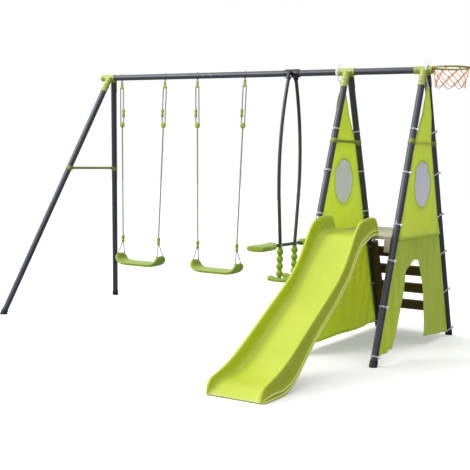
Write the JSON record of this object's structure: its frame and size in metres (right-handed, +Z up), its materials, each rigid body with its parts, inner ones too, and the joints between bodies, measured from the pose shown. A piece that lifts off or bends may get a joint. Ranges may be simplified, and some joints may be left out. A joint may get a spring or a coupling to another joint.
{
  "type": "swing set",
  "caption": "Garden swing set with rope swings, a face-to-face glider, and a fabric-sided tower with slide, slat ladder and ball hoop.",
  "frame": {"origin": "ground level under the middle of the overall footprint", "axes": "+X along the beam towards the ball hoop, +Y from the slide towards the ladder, +Z up"},
  "size_m": [3.4528, 2.6546, 1.9195],
  "materials": {
    "dark_steel": "satin powder coat",
    "black_steel": "satin powder coat",
    "zinc_steel": "zinc plated",
    "green_steel": "satin powder coat",
    "lime_plastic": "moulded, light grain",
    "green_plastic": "moulded",
    "black_plastic": "moulded",
    "rope": "braided",
    "lime_fabric": "woven polyester",
    "mesh_fabric": "fine net",
    "white_cord": "elastic braid",
    "brown_wood": "stained",
    "pale_wood": "sawn, weathered",
    "orange_cord": "braided"
  },
  "bodies": {
    "frame": {"left_legs_upper": "dark_steel", "left_legs_lower": "dark_steel", "crossbar_left": "green_steel", "bracket_left_front": "green_steel", "bracket_left_rear": "green_steel", "mid_legs_upper": "dark_steel", "mid_legs_lower": "dark_steel", "crossbar_mid": "green_steel", "bracket_mid_front": "green_steel", "bracket_mid_rear": "green_steel", "right_legs_upper": "dark_steel", "right_legs_lower": "dark_steel", "crossbar_right": "green_steel", "bracket_right_front": "green_steel", "bracket_right_rear": "green_steel", "beam_left_tube": "dark_steel", "beam_right_tube": "dark_steel", "beam_end_plug": "black_plastic", "foot_caps": "black_plastic", "frame_bolts": "zinc_steel", "hanger_eyes": "zinc_steel", "glider_collars": "black_steel", "deck_boards": "pale_wood", "deck_bearers": "pale_wood", "ladder_rails": "brown_wood", "ladder_slats": "brown_wood", "wood_screws": "zinc_steel", "slide": "lime_plastic", "panel_mid_upper": "lime_fabric", "panel_right_upper": "lime_fabric", "panel_mid_lower": "lime_fabric", "panel_right_lower": "lime_fabric", "window_mid": "mesh_fabric", "window_right": "mesh_fabric", "leg_ties": "white_cord", "top_cords": "white_cord", "hoop": "green_plastic", "net": "orange_cord"},
    "swing_a": {"swing_a_hooks": "green_plastic", "swing_a_loops": "rope", "swing_a_fittings": "green_plastic", "swing_a_ropes": "rope", "swing_a_forks": "rope", "swing_a_seat": "green_plastic"},
    "swing_b": {"swing_b_hooks": "green_plastic", "swing_b_loops": "rope", "swing_b_fittings": "green_plastic", "swing_b_ropes": "rope", "swing_b_forks": "rope", "swing_b_seat": "green_plastic"},
    "glider": {"glider_bearing": "black_steel", "glider_upper_tubes": "black_steel", "glider_lower_tubes": "black_steel", "glider_crossbar": "black_steel", "glider_bolts": "zinc_steel", "glider_seat_front": "green_plastic", "glider_seat_rear": "green_plastic", "glider_bead_columns": "green_plastic", "glider_footrests": "green_plastic"}
  },
  "joints": [
    {"name": "swing_a_hinge", "type": "hinge", "parent": "frame", "child": "swing_a", "pos_m": [-0.9, 0.596, 1.8393], "axis": [1, 0, 0], "range_deg": [-45, 45]},
    {"name": "swing_b_hinge", "type": "hinge", "parent": "frame", "child": "swing_b", "pos_m": [-0.178, 0.596, 1.8393], "axis": [1, 0, 0], "range_deg": [-45, 45]},
    {"name": "glider_hinge", "type": "hinge", "parent": "frame", "child": "glider", "pos_m": [0.428, 0.596, 1.88], "axis": [1, 0, 0], "range_deg": [-25, 25]}
  ]
}
